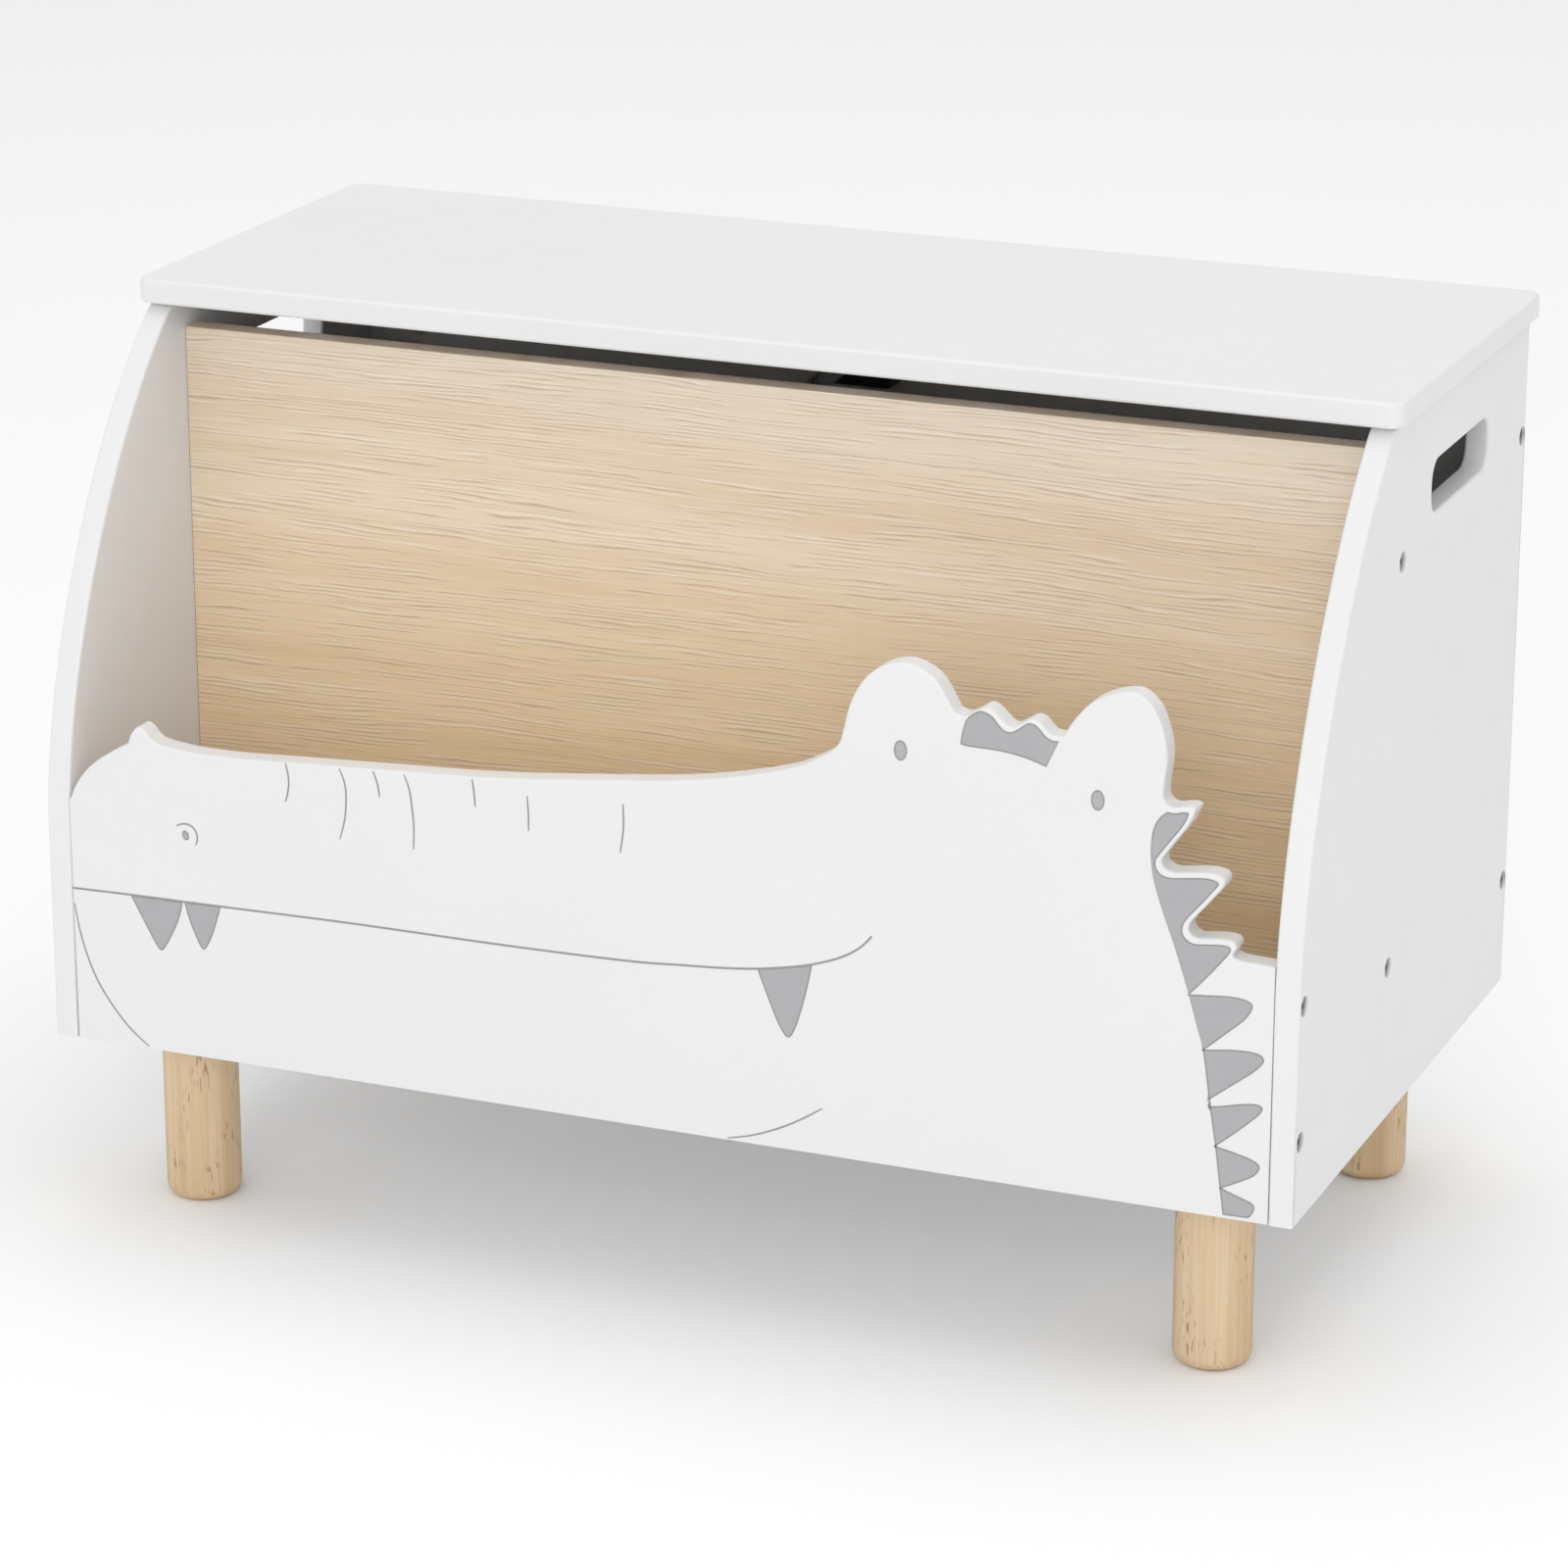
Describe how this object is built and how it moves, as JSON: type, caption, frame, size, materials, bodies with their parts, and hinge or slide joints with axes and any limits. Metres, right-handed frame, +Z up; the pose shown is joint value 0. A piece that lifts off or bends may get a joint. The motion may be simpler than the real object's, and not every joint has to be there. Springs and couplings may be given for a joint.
{
  "type": "wooden toy box",
  "caption": "Low wooden toy box on round legs, with a hinged lid, an inner divider and a book pocket behind a crocodile-head front panel.",
  "frame": {"origin": "on the floor, in the middle of the footprint", "axes": "+X to the right seen from the front, +Y to the back (hinge side), +Z up; the front faces -Y"},
  "size_m": [0.791, 0.4326, 0.5505],
  "materials": {
    "white_paint": "white satin paint on fibreboard",
    "oak_veneer": "light oak veneer, horizontal grain, satin",
    "natural_pine": "turned solid wood, clear satin lacquer",
    "zinc_steel": "zinc plated",
    "dark_steel": "dark plated steel",
    "black_plastic": "black moulded plastic",
    "clear_bumper": "translucent silicone"
  },
  "bodies": {
    "box": {"side_board_left": "white_paint", "side_board_right": "white_paint", "crocodile_front_panel": "white_paint", "divider_panel": "oak_veneer", "back_panel": "white_paint", "bottom_panel": "white_paint", "lid_bumpers": "clear_bumper", "hinge_left_body_leaf": "zinc_steel", "hinge_right_body_leaf": "zinc_steel", "hinge_left_pin": "zinc_steel", "hinge_right_pin": "zinc_steel", "hinge_body_screws": "zinc_steel", "stay_housing": "black_plastic", "stay_housing_screws": "dark_steel", "stay_pivot_pin": "zinc_steel", "stay_friction_washers": "zinc_steel", "connector_bolts": "dark_steel", "barrel_nuts": "zinc_steel", "wooden_dowels": "natural_pine", "bottom_panel_screws": "zinc_steel", "leg_front_left": "natural_pine", "leg_front_right": "natural_pine", "leg_rear_left": "natural_pine", "leg_rear_right": "natural_pine", "leg_hanger_bolts": "zinc_steel", "leg_insert_nuts": "zinc_steel"},
    "lid": {"lid_panel": "white_paint", "hinge_left_lid_leaf": "zinc_steel", "hinge_right_lid_leaf": "zinc_steel", "hinge_lid_screws": "zinc_steel", "stay_lid_bracket": "zinc_steel", "stay_lid_pin": "zinc_steel", "stay_bracket_screws": "zinc_steel"},
    "stay_lower": {"stay_lower_arm": "zinc_steel", "stay_knee_rivet": "zinc_steel"},
    "stay_upper": {"stay_upper_arm": "zinc_steel"}
  },
  "joints": [
    {"name": "lid_hinge", "type": "hinge", "parent": "box", "child": "lid", "pos_m": [0, 0.21305, 0.5322], "axis": [-1, 0, 0], "range_deg": [0, 85]},
    {"name": "stay_lower_swing", "type": "hinge", "parent": "box", "child": "stay_lower", "pos_m": [-0.01, 0.17775, 0.4972], "axis": [-1, 0, 0], "range_deg": [0, 85]},
    {"name": "stay_upper_swing", "type": "hinge", "parent": "stay_lower", "child": "stay_upper", "pos_m": [-0.007, 0.05775, 0.4882], "axis": [-1, 0, 0], "range_deg": [-85, 0]}
  ],
  "couplings": [
    {"joint": "stay_lower_swing", "follows": "lid_hinge", "ratio": 1},
    {"joint": "stay_upper_swing", "follows": "lid_hinge", "ratio": -1}
  ]
}
